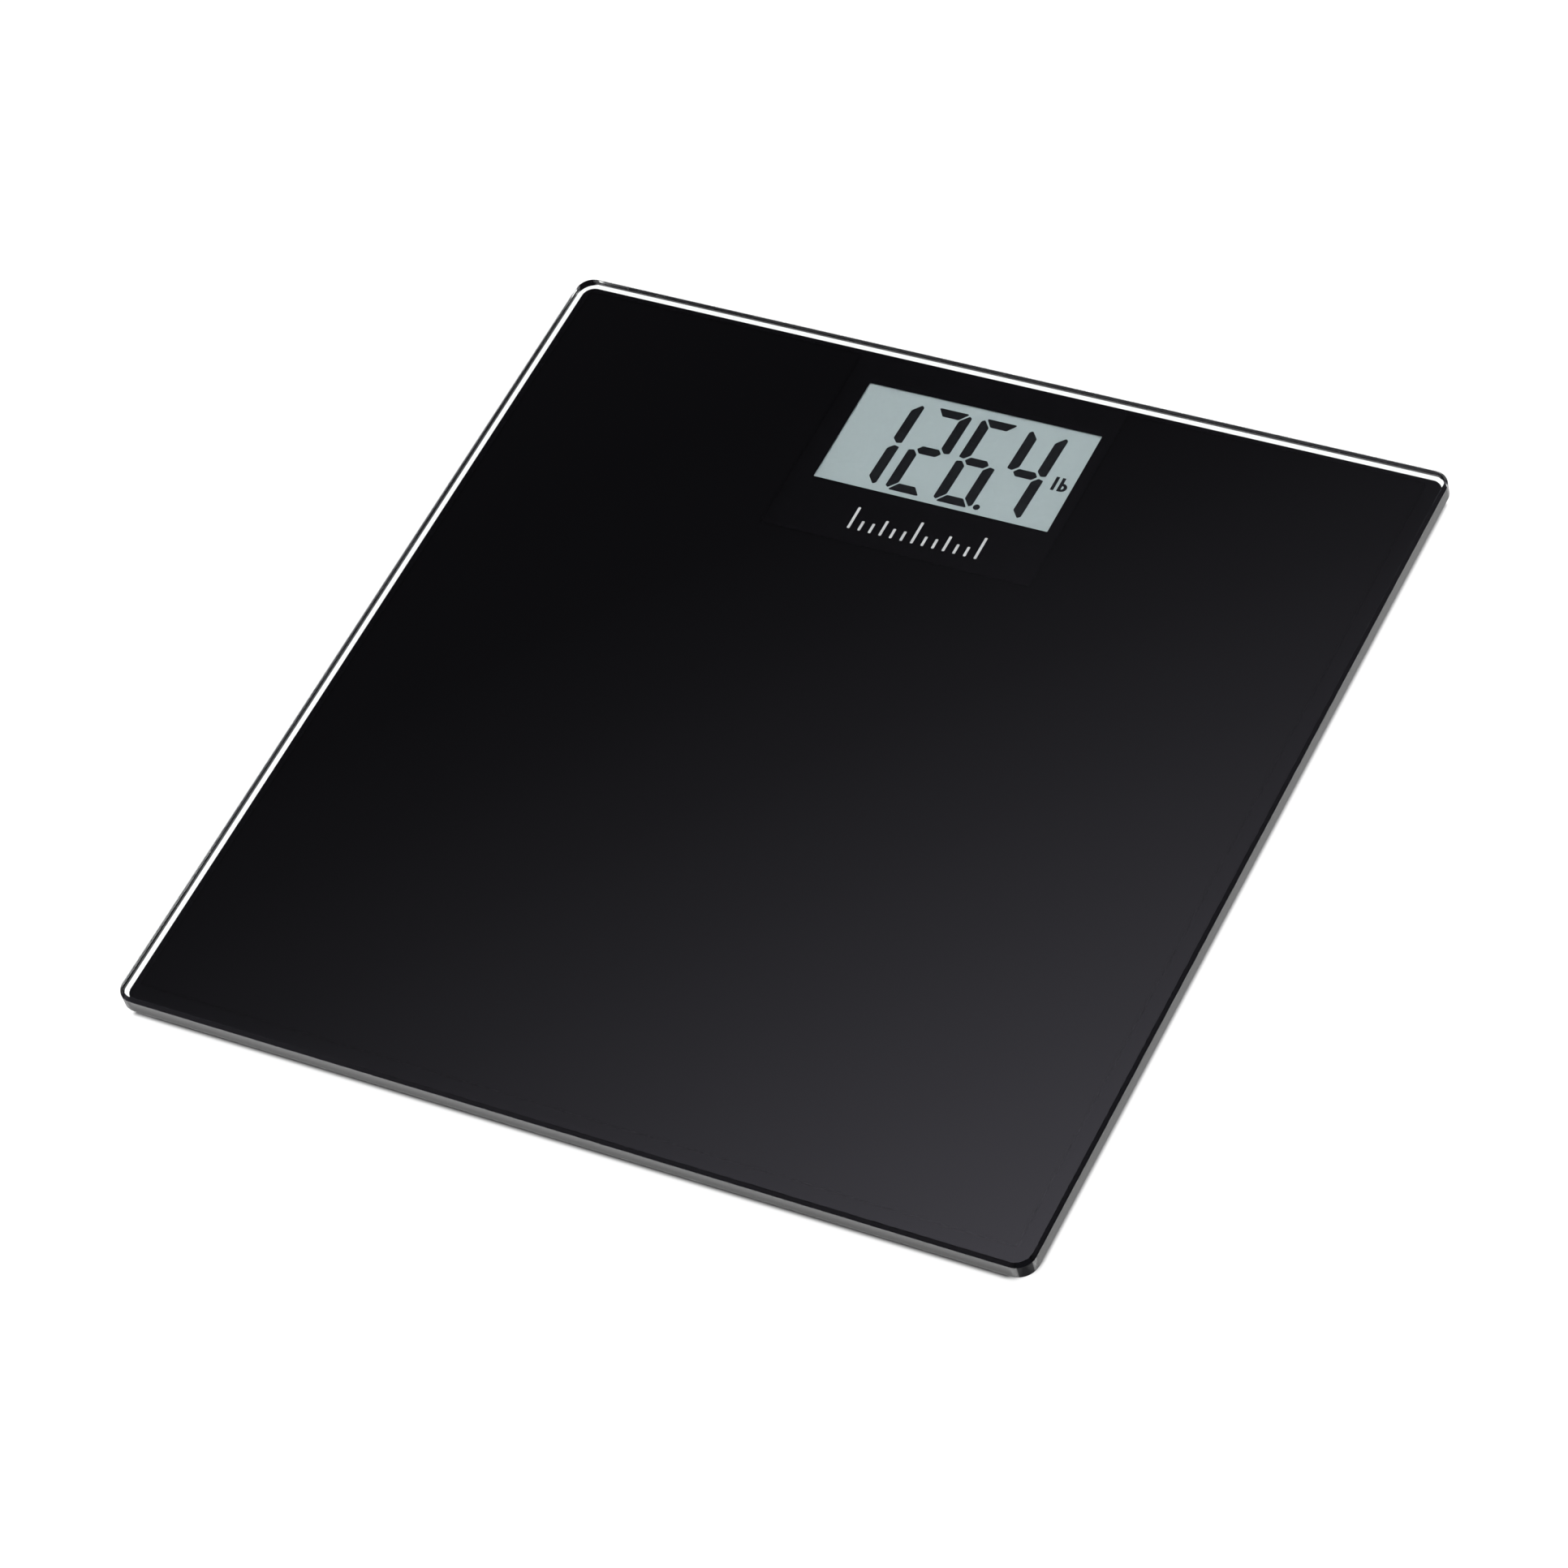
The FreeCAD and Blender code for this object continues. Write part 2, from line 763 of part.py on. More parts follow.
def main_board():
    cut = board_corner_cut
    left, right = -board_half_width, board_half_width
    front, back = board_front, board_back
    outline = [
        V(left + cut, front, 0), V(right - cut, front, 0), V(right, front + cut, 0),
        V(right, back - cut, 0), V(right - cut, back, 0), V(left + cut, back, 0),
        V(left, back - cut, 0), V(left, front + cut, 0),
    ]
    face = Part.Face(Part.makePolygon(outline + outline[:1]))
    face.translate(V(0, 0, board_bottom))
    holes = [post(x, y, board_bottom - past, board_top + past, board_screw_hole_radius)
             for x, y in board_screw_places()]
    return face.extrude(V(0, 0, board_thickness)).cut(holes)


def board_screws():
    return group([screw(x, y, board_bottom, board_screw_head_radius, board_screw_head_height,
                        board_screw_shank_radius, board_screw_shank_length)
                  for x, y in board_screw_places()])


def controller_chip():
    """Resin dome over the bonded chip, on the underside of the board."""
    radius = (resin_radius * resin_radius + resin_height * resin_height) / (2 * resin_height)
    sphere = Part.makeSphere(radius, V(resin_x, resin_y, board_bottom - resin_height + radius))
    half = 2 * resin_radius
    return sphere.common(block(resin_x - half, resin_x + half, resin_y - half, resin_y + half,
                               board_bottom - resin_height - past, board_bottom))


def board_parts():
    """Small chip resistors and capacitors and one crystal, on the underside of the board."""
    chips = []
    for row, y in enumerate(chip_rows):
        for column in range(chips_in_row):
            x = chip_first_x + chip_pitch * column + chip_row_shift * row
            chips.append(block(x, x + chip_length, y, y + chip_width,
                               board_bottom - chip_height, board_bottom))
    crystal_start = V(crystal_x, crystal_y, board_bottom - crystal_radius)
    crystal = Part.makeCylinder(crystal_radius, crystal_length, crystal_start, ALONG_X)
    return group(chips + [crystal])


# ---------------------------------------------------------------- unit button and its switch


def button_levels():
    """Underside of the button's flange, and the height where the switch body begins."""
    flange_bottom = cover_inner + flange_gap
    flange_top = flange_bottom + flange_thickness
    return flange_bottom, flange_top, flange_top + button_travel + flange_gap


def unit_button():
    flange_bottom, flange_top, _ = button_levels()
    shaft_bottom = cover_bottom + button_recess
    shaft = post(button_x, button_y, shaft_bottom, flange_top, button_radius)
    shaft = break_edges(shaft, shaft_bottom, button_edge_break)
    flange = post(button_x, button_y, flange_bottom, flange_top, button_radius + flange_reach)
    return one([shaft, flange])


def switch_plunger():
    _, flange_top, body_bottom = button_levels()
    return post(button_x, button_y, flange_top, body_bottom + plunger_inside, plunger_radius)


def switch_body():
    """Tactile switch on the underside of the board, with room for its plunger."""
    _, _, body_bottom = button_levels()
    half = switch_half_side
    body = rounded_block(button_x - half, button_x + half, button_y - half, button_y + half,
                         body_bottom, board_bottom, switch_corner)
    room_top = body_bottom + plunger_inside + button_travel + plunger_gap
    return body.cut(post(button_x, button_y, body_bottom - past, room_top, plunger_radius + plunger_gap))


# ---------------------------------------------------------------- coin cell and contacts


def coin_cell():
    """Lithium coin cell: the wide can faces the door, and the narrower cap faces up."""
    can_top = coin_top - coin_cap_height
    can = post(coin_x, coin_y, coin_bottom, can_top, coin_radius)
    can = break_edges(can, coin_bottom, coin_edge_break)
    cap = post(coin_x, coin_y, can_top, coin_top, coin_radius - coin_cap_margin)
    return one([can, cap])


def contact_tail(start_x, z):
    """The end of a contact: level over the board's edge, then down to its pad."""
    foot_x = board_half_width - tail_foot
    return [(start_x, z), (board_half_width - tail_level_end, z), (foot_x, board_top + contact_rise)]


def battery_contact_negative():
    """Spring finger that presses on the cell's cap from above."""
    level = coin_top + contact_level
    points = [(coin_x + finger_tip_x, coin_top + finger_tip_height),
              (coin_x + finger_touch_x, coin_top + finger_touch_height), (coin_x + finger_bend_x, level)]
    points += contact_tail(coin_x + finger_root_x, level)
    tail_y = coin_y + negative_tail_offset
    return strip(points, contact_width, tail_y, contact_thickness)


def battery_contact_positive():
    """Strip that stands beside the cell's can and joins the board by its tail."""
    level = coin_top + contact_level
    side = coin_x - coin_radius - can_contact_gap
    half = contact_thickness / 2
    upright = block(side - half, side + half, coin_y - contact_width, coin_y + contact_width,
                    cover_inner + can_contact_bottom, level + half)
    tail_y = coin_y + positive_tail_offset
    tail = strip(contact_tail(side + half, level), contact_width, tail_y, contact_thickness)
    bridge = block(side - half, side + half, coin_y + contact_width - joined,
                   tail_y + contact_width / 2, level - half, level + half)
    return one([upright, bridge, tail])


# ---------------------------------------------------------------- load cell leads


def lead_route(corner, offset):
    """Points and bend radii of one core, from the load cell to the board, offset sideways."""
    side_x, side_y = CORNERS[corner]
    cell_x = pod_centre - lead_start_x
    pad_x = board_half_width - lead_pad_margin
    cell_end_z = cell_top + lead_start_height
    if side_y > 0:
        y = pod_centre + offset
        points = [(cell_x, y, cell_end_z), (cell_x, y, lead_z), (pad_x, y, lead_z), (pad_x, y, board_top)]
        radii = [lead_drop_radius, lead_drop_radius]
    else:
        y_pod = -pod_centre + offset
        y_board = front_lead_y - offset
        x_lane = lane_x + offset
        points = [
            (cell_x, y_pod, cell_end_z), (cell_x, y_pod, lead_z), (x_lane, y_pod, lead_z),
            (x_lane, y_board, lead_z), (pad_x, y_board, lead_z), (pad_x, y_board, board_top),
        ]
        radii = [lead_drop_radius, lane_bend - offset, lane_bend - offset, lead_drop_radius]
    return [V(side_x * x, y, z) for x, y, z in points], radii


def tangent_path(points, radii):
    """Straight runs through the points, joined by tangent arcs."""
    edges = []
    start = points[0]
    for i, radius in enumerate(radii):
        corner = points[i + 1]
        back = (points[i] - corner).normalize()
        ahead = (points[i + 2] - corner).normalize()
        half_turn = (math.pi - back.getAngle(ahead)) / 2
        reach = radius * math.tan(half_turn)
        enter = corner + back * reach
        leave = corner + ahead * reach
        bisector = (back + ahead).normalize()
        middle = corner + bisector * (radius / math.cos(half_turn) - radius)
        edges.append(Part.LineSegment(start, enter).toShape())
        edges.append(Part.Arc(enter, middle, leave).toShape())
        start = leave
    edges.append(Part.LineSegment(start, points[-1]).toShape())
    return Part.Wire(edges)


def lead(corner):
    """The three cores of one load cell's lead."""
    cores = []
    for step in (-1, 0, 1):
        points, radii = lead_route(corner, step * lead_pitch)
        path = tangent_path(points, radii)
        first = (points[1] - points[0]).normalize()
        section = Part.Wire([Part.makeCircle(lead_radius, points[0], first)])
        cores.append(path.makePipeShell([section], True, True))
    return group(cores)


def tape_section(at, across):
    """Section of the tape over a lead: flat wings on the glass and a raised middle."""
    wing = lead_tape_width / 2
    crown = lead_pitch + lead_radius + lead_tape_room
    shoulder = crown + lead_tape_slope
    top = print_bottom
    under = lead_tape_under
    low = lead_z - lead_radius - under
    skin = lead_tape_thickness
    profile = [
        (-wing, top), (-shoulder, top), (-crown, low), (crown, low), (shoulder, top), (wing, top),
        (wing, top - skin), (shoulder + under, top - skin), (crown + under, low - skin),
        (-crown - under, low - skin), (-shoulder - under, top - skin), (-wing, top - skin),
    ]
    corners = [V(at.x + across.x * s, at.y + across.y * s, z) for s, z in profile]
    return Part.Face(Part.makePolygon(corners + corners[:1]))


def lead_tape(corner):
    """Tape along the open stretch of one lead, between its pod and the housing."""
    side_x, side_y = CORNERS[corner]
    pod_wall_x = pod_centre - pod_half - lead_tape_margin
    housing_x = (housing_right if side_x > 0 else -housing_left) + lead_tape_margin
    start_y = side_y * pod_centre
    across_y = V(0, 1, 0)
    if side_y > 0:
        length = pod_wall_x - housing_x
        return tape_section(V(side_x * pod_wall_x, start_y, 0), across_y).extrude(V(-side_x * length, 0, 0))
    bend_y = -pod_centre + lane_bend
    first_bend = V(side_x * (lane_x + lane_bend), -pod_centre, 0)
    first_centre = V(side_x * (lane_x + lane_bend), bend_y, 0)
    second_centre = V(side_x * (lane_x - lane_bend), front_lead_y - lane_bend, 0)
    lane_start = V(side_x * lane_x, bend_y, 0)
    first = tape_section(first_bend, across_y).revolve(first_centre, UP, -side_x * 90)
    lane_face = tape_section(lane_start, V(side_x, 0, 0))
    lane = lane_face.extrude(V(0, front_lead_y - lane_bend - bend_y, 0))
    lane_end = V(side_x * lane_x, front_lead_y - lane_bend, 0)
    second = tape_section(lane_end, V(side_x, 0, 0)).revolve(second_centre, UP, side_x * 90)
    pieces = [first, lane, second]
    last_x = lane_x - lane_bend
    if last_x > housing_x:
        end_face = tape_section(V(side_x * last_x, front_lead_y, 0), across_y)
        pieces.append(end_face.extrude(V(-side_x * (last_x - housing_x), 0, 0)))
    return one(pieces)


def lead_tapes():
    return group([lead_tape(corner) for corner in CORNERS])


# ---------------------------------------------------------------- every node of the scale


def all_nodes():
    nodes = {
        "glass_platform": glass_platform(),
        "black_print": black_print(),
        "pod_tapes": group([in_corner(pod_tape(), corner) for corner in CORNERS]),
        "housing_tape": housing_tape(),
        "housing_frame": housing_frame(),
        "housing_cover": housing_cover(),
        "housing_screws": housing_screws(),
        "battery_door": battery_door(),
        "lcd_gasket": lcd_gasket(),
        "lcd_front_polarizer": lcd_front_polarizer(),
        "lcd_front_glass": lcd_front_glass(),
        "lcd_rear_glass": lcd_rear_glass(),
        "lcd_reflector": lcd_reflector(),
        "lcd_holder": lcd_holder(),
        "zebra_strip": zebra_strip(),
        "main_board": main_board(),
        "board_screws": board_screws(),
        "controller_chip": controller_chip(),
        "board_parts": board_parts(),
        "unit_button": unit_button(),
        "switch_plunger": switch_plunger(),
        "switch_body": switch_body(),
        "coin_cell": coin_cell(),
        "battery_contact_negative": battery_contact_negative(),
        "battery_contact_positive": battery_contact_positive(),
        "lead_tapes": lead_tapes(),
    }
    made_once = {
        "pod_base": pod_base(),
        "cushion": cushion(),
        "load_cell": load_cell(),
        "strain_gauge": strain_gauge(),
        "foot": foot(),
        "foot_pad": foot_pad(),
    }
    for corner in CORNERS:
        for name, shape in made_once.items():
            nodes[name + "_" + corner] = in_corner(shape, corner)
        nodes["lead_" + corner] = lead(corner)
    return nodes


os.makedirs("parts", exist_ok=True)
for node_name, node_shape in all_nodes().items():
    node_shape.exportStep("parts/" + node_name + ".step")
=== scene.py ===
import json
import math

import bmesh
import bpy
from mathutils import Matrix, Vector
from mathutils.geometry import tessellate_polygon


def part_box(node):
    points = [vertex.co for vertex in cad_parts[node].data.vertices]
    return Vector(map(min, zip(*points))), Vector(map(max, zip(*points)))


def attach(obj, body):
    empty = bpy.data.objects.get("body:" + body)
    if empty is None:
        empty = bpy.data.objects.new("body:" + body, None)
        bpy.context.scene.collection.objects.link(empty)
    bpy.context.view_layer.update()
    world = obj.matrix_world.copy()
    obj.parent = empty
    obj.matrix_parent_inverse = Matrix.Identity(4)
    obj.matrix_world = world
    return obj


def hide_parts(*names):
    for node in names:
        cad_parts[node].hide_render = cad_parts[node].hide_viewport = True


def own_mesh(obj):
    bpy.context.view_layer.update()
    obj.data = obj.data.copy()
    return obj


# The looks of a glass-platform bathroom scale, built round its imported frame.
# Everything is in metres, in the frame's own axes: X right, Y to the display, Z up.

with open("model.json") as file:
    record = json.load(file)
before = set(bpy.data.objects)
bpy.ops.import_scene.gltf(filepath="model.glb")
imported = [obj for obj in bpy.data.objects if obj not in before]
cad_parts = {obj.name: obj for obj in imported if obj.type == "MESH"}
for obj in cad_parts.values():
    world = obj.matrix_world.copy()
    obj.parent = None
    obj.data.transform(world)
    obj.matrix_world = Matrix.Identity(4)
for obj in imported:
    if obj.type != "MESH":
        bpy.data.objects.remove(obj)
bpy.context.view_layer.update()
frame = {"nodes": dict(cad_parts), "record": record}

MM = 0.001
PLATFORM = "platform"
CORNERS = ("front_left", "front_right", "back_left", "back_right")

# ---------------------------------------------------------------- places read from the frame

glass_low, glass_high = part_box("glass_platform")
print_low, print_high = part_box("black_print")
lcd_low, lcd_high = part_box("lcd_front_polarizer")

platform_half = glass_high.x
glass_top = glass_high.z
glass_bottom = glass_low.z
print_half = print_high.x
lcd_face = lcd_high.z

# ---------------------------------------------------------------- sizes of the visible pieces

platform_corner = 6.0 * MM
top_arris = 1.05 * MM
bottom_arris = 0.5 * MM
arris_blend = 0.12 * MM
corner_steps = 20
flat_margin = 0.4 * MM

# the enamel lies a hair inside the glass, so that no air shows between them
enamel_overlap = 0.02 * MM

window_half_width = 40.0 * MM
window_half_depth = 20.0 * MM
window_centre = Vector((0.0, 116.0 * MM, 0.0))
window_corner = 0.3 * MM

# enamel is all that can be seen through the top face inside this square, away from the display
backed_half = platform_half - 6.5 * MM
clear_half_width = 46.0 * MM
clear_front = 72.0 * MM
mask_blur = 2.0 * MM

# ---------------------------------------------------------------- material nodes


class Finish:
    """A Principled material and the node graph that gives it its detail."""

    def __init__(self, name, color, roughness=0.5, metallic=0.0, specular=0.5, ior=1.5):
        self.material = bpy.data.materials.new(name)
        self.material.use_nodes = True
        self.tree = self.material.node_tree
        self.shader = self.tree.nodes["Principled BSDF"]
        self.color = color
        self.roughness = roughness
        self.set("Base Color", (*color, 1.0))
        self.set("Roughness", roughness)
        self.set("Metallic", metallic)
        self.set("Specular IOR Level", specular)
        self.set("IOR", ior)
        self.coordinates = self.add("ShaderNodeTexCoord").outputs["Object"]

    def set(self, socket, value):
        self.shader.inputs[socket].default_value = value

    def add(self, kind, **settings):
        node = self.tree.nodes.new(kind)
        for key, value in settings.items():
            setattr(node, key, value)
        return node

    def link(self, source, target):
        self.tree.links.new(source, target)

    def noise(self, scale, detail=4.0, roughness=0.6, stretch=(1.0, 1.0, 1.0)):
        """Noise with scale grains to the metre."""
        mapping = self.add("ShaderNodeMapping")
        mapping.inputs["Scale"].default_value = stretch
        self.link(self.coordinates, mapping.inputs["Vector"])
        node = self.add("ShaderNodeTexNoise")
        node.inputs["Scale"].default_value = scale
        node.inputs["Detail"].default_value = detail
        node.inputs["Roughness"].default_value = roughness
        self.link(mapping.outputs["Vector"], node.inputs["Vector"])
        return node.outputs["Fac"]

    def waves(self, scale, direction="X", profile="SIN"):
        node = self.add("ShaderNodeTexWave", bands_direction=direction, wave_profile=profile)
        node.inputs["Scale"].default_value = scale
        node.inputs["Distortion"].default_value = 0.0
        self.link(self.coordinates, node.inputs["Vector"])
        return node.outputs["Fac"]

    def math(self, operation, *sources):
        node = self.add("ShaderNodeMath", operation=operation)
        for source, socket in zip(sources, node.inputs):
            self.link(source, socket)
        return node.outputs["Value"]

    def box_mask(self, x_low, x_high, y_low, y_high, blur):
        """One inside an upright box, none outside, with a smooth edge blur wide."""
        apart = self.add("ShaderNodeSeparateXYZ")
        self.link(self.coordinates, apart.inputs["Vector"])
        inside = None
        for axis, limit, inward in (("X", x_low, 1), ("X", x_high, -1), ("Y", y_low, 1), ("Y", y_high, -1)):
            ramp = self.add("ShaderNodeMapRange", interpolation_type="SMOOTHSTEP")
            ramp.inputs["From Min"].default_value = limit - inward * blur / 2
            ramp.inputs["From Max"].default_value = limit + inward * blur / 2
            self.link(apart.outputs[axis], ramp.inputs["Value"])
            ramped = ramp.outputs["Result"]
            inside = ramped if inside is None else self.math("MULTIPLY", inside, ramped)
        return inside

    def spread(self, source, low, high, low_in=0.3, high_in=0.7):
        """Maps a pattern's low_in..high_in to low..high."""
        node = self.add("ShaderNodeMapRange")
        node.inputs["From Min"].default_value = low_in
        node.inputs["From Max"].default_value = high_in
        node.inputs["To Min"].default_value = low
        node.inputs["To Max"].default_value = high
        self.link(source, node.inputs["Value"])
        return node.outputs["Result"]

    def mottle(self, source, other, low_in=0.35, high_in=0.65):
        """Moves the colour between this finish's own and another by a pattern."""
        share = self.spread(source, 0.0, 1.0, low_in, high_in)
        mix = self.add("ShaderNodeMix", data_type="RGBA")
        mix.inputs["A"].default_value = (*self.color, 1.0)
        mix.inputs["B"].default_value = (*other, 1.0)
        self.link(share, mix.inputs["Factor"])
        self.link(mix.outputs["Result"], self.shader.inputs["Base Color"])

    def vary_roughness(self, source, change, low_in=0.3, high_in=0.7):
        low = max(0.0, self.roughness - change)
        high = min(1.0, self.roughness + change)
        spread = self.spread(source, low, high, low_in, high_in)
        self.link(spread, self.shader.inputs["Roughness"])

    def bump(self, source, height, strength=1.0):
        """Raises the surface by the pattern, height metres from its lowest to its highest."""
        node = self.add("ShaderNodeBump")
        node.inputs["Strength"].default_value = strength
        node.inputs["Distance"].default_value = height
        self.link(source, node.inputs["Height"])
        last = self.shader.inputs["Normal"]
        if last.is_linked:
            self.link(last.links[0].from_socket, node.inputs["Normal"])
        self.link(node.outputs["Normal"], last)


def moulded(name, color, worn, roughness=0.45, grain=9000.0, depth=0.02, specular=0.3):
    """Injection-moulded plastic: a fine spark-eroded grain and slight flow marks."""
    finish = Finish(name, color, roughness, specular=specular)
    finish.mottle(finish.noise(45.0), worn)
    finish.vary_roughness(finish.noise(300.0), 0.07)
    finish.bump(finish.noise(grain, 2.0), depth * MM)
    return finish.material


def metal(name, color, worn, roughness=0.3, brushed=(1.0, 1.0, 1.0), depth=0.004):
    """Rolled, plated or stamped metal with fine scratches along one direction."""
    finish = Finish(name, color, roughness, metallic=1.0)
    scratches = finish.noise(2500.0, 5.0, 0.7, brushed)
    finish.mottle(finish.noise(90.0), worn)
    finish.vary_roughness(scratches, 0.1)
    finish.bump(scratches, depth * MM)
    return finish.material


def plate_glass():
    """Float glass, clear at its border and over the display, and backed by black enamel elsewhere."""
    finish = Finish("platform_glass", (0.97, 0.99, 0.98), 0.0, ior=1.52)
    middle = finish.box_mask(-backed_half, backed_half, -backed_half, backed_half, mask_blur)
    bay = finish.box_mask(-clear_half_width, clear_half_width, clear_front, platform_half, mask_blur)
    closed = finish.math("MULTIPLY", middle, finish.spread(bay, 1.0, 0.0, 0.0, 1.0))
    finish.link(finish.spread(closed, 1.0, 0.0, 0.6, 1.0), finish.shader.inputs["Transmission Weight"])
    finish.mottle(closed, (0.0004, 0.0004, 0.0005), 0.0, 0.4)
    finish.bump(finish.noise(14.0, 1.0), 0.002 * MM)
    return finish.material


def polished_edge():
    """The plate's edge: faint marks of the polishing wheel, and a painted dark reflection at its upright
    corners.
    """
    finish = Finish("polished_edge", (0.95, 0.98, 0.97), 0.05, ior=1.52)
    finish.set("Transmission Weight", 1.0)
    apart = finish.add("ShaderNodeSeparateXYZ")
    finish.link(finish.coordinates, apart.inputs["Vector"])
    across = finish.math("ABSOLUTE", apart.outputs["X"])
    along = finish.math("ABSOLUTE", apart.outputs["Y"])
    lesser = finish.math("MINIMUM", across, along)
    arc_start = platform_half - platform_corner
    # painted dark reflection: the middle of each upright corner turns black, lets no light through and barely
    # reflects
    corner = finish.spread(lesser, 0.0, 1.0, arc_start + 1.0 * MM, arc_start + 2.4 * MM)
    finish.mottle(corner, (0.004, 0.004, 0.005), 0.0, 0.5)
    finish.link(finish.spread(corner, 1.0, 0.0, 0.6, 1.0), finish.shader.inputs["Transmission Weight"])
    finish.link(finish.spread(corner, 0.5, 0.04, 0.6, 1.0), finish.shader.inputs["Specular IOR Level"])
    marks = finish.noise(1200.0, 3.0, 0.6, (1.0, 1.0, 6.0))
    finish.bump(marks, 0.002 * MM)
    return finish.material


def enamel():
    """Black screen-printed enamel, seen through the glass."""
    finish = Finish("black_enamel", (0.0016, 0.0016, 0.0020), 0.6, specular=0.0)
    finish.mottle(finish.noise(35.0), (0.0022, 0.0021, 0.0028))
    return finish.material


def lcd_face_film():
    """The display's pale grey-green polarising film over its reflector."""
    finish = Finish("lcd_face", (0.46, 0.53, 0.54), 0.45, specular=0.25)
    finish.mottle(finish.noise(600.0, 6.0, 0.8), (0.43, 0.495, 0.505))
    return finish.material


def lcd_ink_dark():
    finish = Finish("lcd_ink", (0.005, 0.006, 0.007), 0.5, specular=0.0)
    finish.mottle(finish.noise(500.0), (0.008, 0.009, 0.010))
    return finish.material


def white_enamel():
    finish = Finish("white_mark", (0.95, 0.95, 0.95), 0.5, specular=0.1)
    finish.mottle(finish.noise(900.0), (0.90, 0.90, 0.90))
    return finish.material


# ---------------------------------------------------------------- mesh helpers


def mesh_piece(name, vertices, faces, materials, face_materials=None, normals=None):
    mesh = bpy.data.meshes.new(name)
    mesh.from_pydata([tuple(v) for v in vertices], [], faces)
    for material in materials:
        mesh.materials.append(material)
    if face_materials:
        mesh.polygons.foreach_set("material_index", face_materials)
    if normals:
        mesh.polygons.foreach_set("use_smooth", [True] * len(mesh.polygons))
        mesh.normals_split_custom_set_from_vertices(normals)
    mesh.update()
    piece = bpy.data.objects.new(name, mesh)
    bpy.context.scene.collection.objects.link(piece)
    return piece


def rounded_rectangle(half_x, half_y, radius, steps, centre=(0.0, 0.0)):
    """Points anticlockwise round a rectangle with arcs at its corners, each with its outward normal."""
    points = []
    for quarter in range(4):
        side_x = 1 if quarter in (0, 3) else -1
        side_y = 1 if quarter in (0, 1) else -1
        arc_x = centre[0] + side_x * (half_x - radius)
        arc_y = centre[1] + side_y * (half_y - radius)
        for step in range(steps + 1):
            angle = math.pi / 2 * (quarter + step / steps)
            normal = Vector((math.cos(angle), math.sin(angle)))
            points.append((Vector((arc_x, arc_y)) + normal * radius, normal))
    return points


def rim_faces(lower, upper, count):
    """The quads between two rings of count points, facing outwards when upper is above lower."""
    faces = []
    for index in range(count):
        after = (index + 1) % count
        faces.append((lower + index, lower + after, upper + after, upper + index))
    return faces


# ---------------------------------------------------------------- glass platform


def edge_profile():
    """The edge from the underside to the top: how far inside the outline, how high, and the normal's tilt."""
    section = (
        (bottom_arris + flat_margin, glass_bottom),
        (bottom_arris, glass_bottom),
        (0.0, glass_bottom + bottom_arris),
        (0.0, glass_top - top_arris),
        (top_arris, glass_top),
        (top_arris + flat_margin, glass_top),
    )
    section = [Vector(spot) for spot in section]
    tilts = [math.radians(angle) for angle in (-90, -45, 0, 45, 90)]
    profile = [(*section[0], tilts[0])]
    for index in range(1, len(section) - 1):
        corner = section[index]
        before = corner + (section[index - 1] - corner).normalized() * arris_blend
        after = corner + (section[index + 1] - corner).normalized() * arris_blend
        profile.append((*before, tilts[index - 1]))
        profile.append((*after, tilts[index]))
    profile.append((*section[-1], tilts[-1]))
    return profile


def glass_platform(plate, edge):
    """The tempered plate: flat faces, an upright polished edge and bevelled arrises."""
    outline = rounded_rectangle(platform_half, platform_half, platform_corner, corner_steps)
    count = len(outline)
    profile = edge_profile()
    vertices = []
    normals = []
    for inset, height, tilt in profile:
        for point, outward in outline:
            spot = point - outward * inset
            vertices.append((spot.x, spot.y, height))
            level = math.cos(tilt)
            normals.append((outward.x * level, outward.y * level, math.sin(tilt)))
    faces = []
    face_materials = []
    rows = len(profile) - 1
    for row in range(rows):
        faces += rim_faces(row * count, (row + 1) * count, count)
        face_materials += [0 if row in (0, rows - 1) else 1] * count
    faces.append(tuple(range(rows * count, (rows + 1) * count)))
    faces.append(tuple(reversed(range(count))))
    face_materials += [0, 0]
    piece = mesh_piece("platform_plate", vertices, faces, [plate, edge], face_materials, normals)
    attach(piece, PLATFORM)
    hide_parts("glass_platform")
    return piece


def upward_face(triangle, vertices):
    """The triangle's corners in the order that makes it face up."""
    a, b, c = (Vector(vertices[i]) for i in triangle)
    if (b - a).cross(c - a).z < 0:
        triangle = triangle[::-1]
    return tuple(triangle)


# ---------------------------------------------------------------- black enamel with its window


def enamel_layer(material):
    corner = platform_corner - (platform_half - print_half)
    outer = [p for p, _ in rounded_rectangle(print_half, print_half, corner, corner_steps)]
    centre = (window_centre.x, window_centre.y)
    inner = [p for p, _ in rounded_rectangle(window_half_width, window_half_depth, window_corner, 4, centre)]
    loops = [[Vector((p.x, p.y, 0.0)) for p in outer], [Vector((p.x, p.y, 0.0)) for p in reversed(inner)]]
    flat = [p for loop in loops for p in loop]
    triangles = tessellate_polygon(loops)
    top = print_high.z + enamel_overlap
    vertices = [(p.x, p.y, top) for p in flat] + [(p.x, p.y, print_low.z) for p in flat]
    count = len(flat)
    faces = []
    for triangle in triangles:
        face = upward_face(list(triangle), flat)
        faces.append(face)
        faces.append(tuple(count + i for i in reversed(face)))
    faces += rim_faces(count, 0, len(outer))
    hole = rim_faces(count + len(outer), len(outer), len(inner))
    faces += hole
    piece = mesh_piece("enamel_layer", vertices, faces, [material])
    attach(piece, PLATFORM)
    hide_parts("black_print")
    return piece


# ---------------------------------------------------------------- display reading

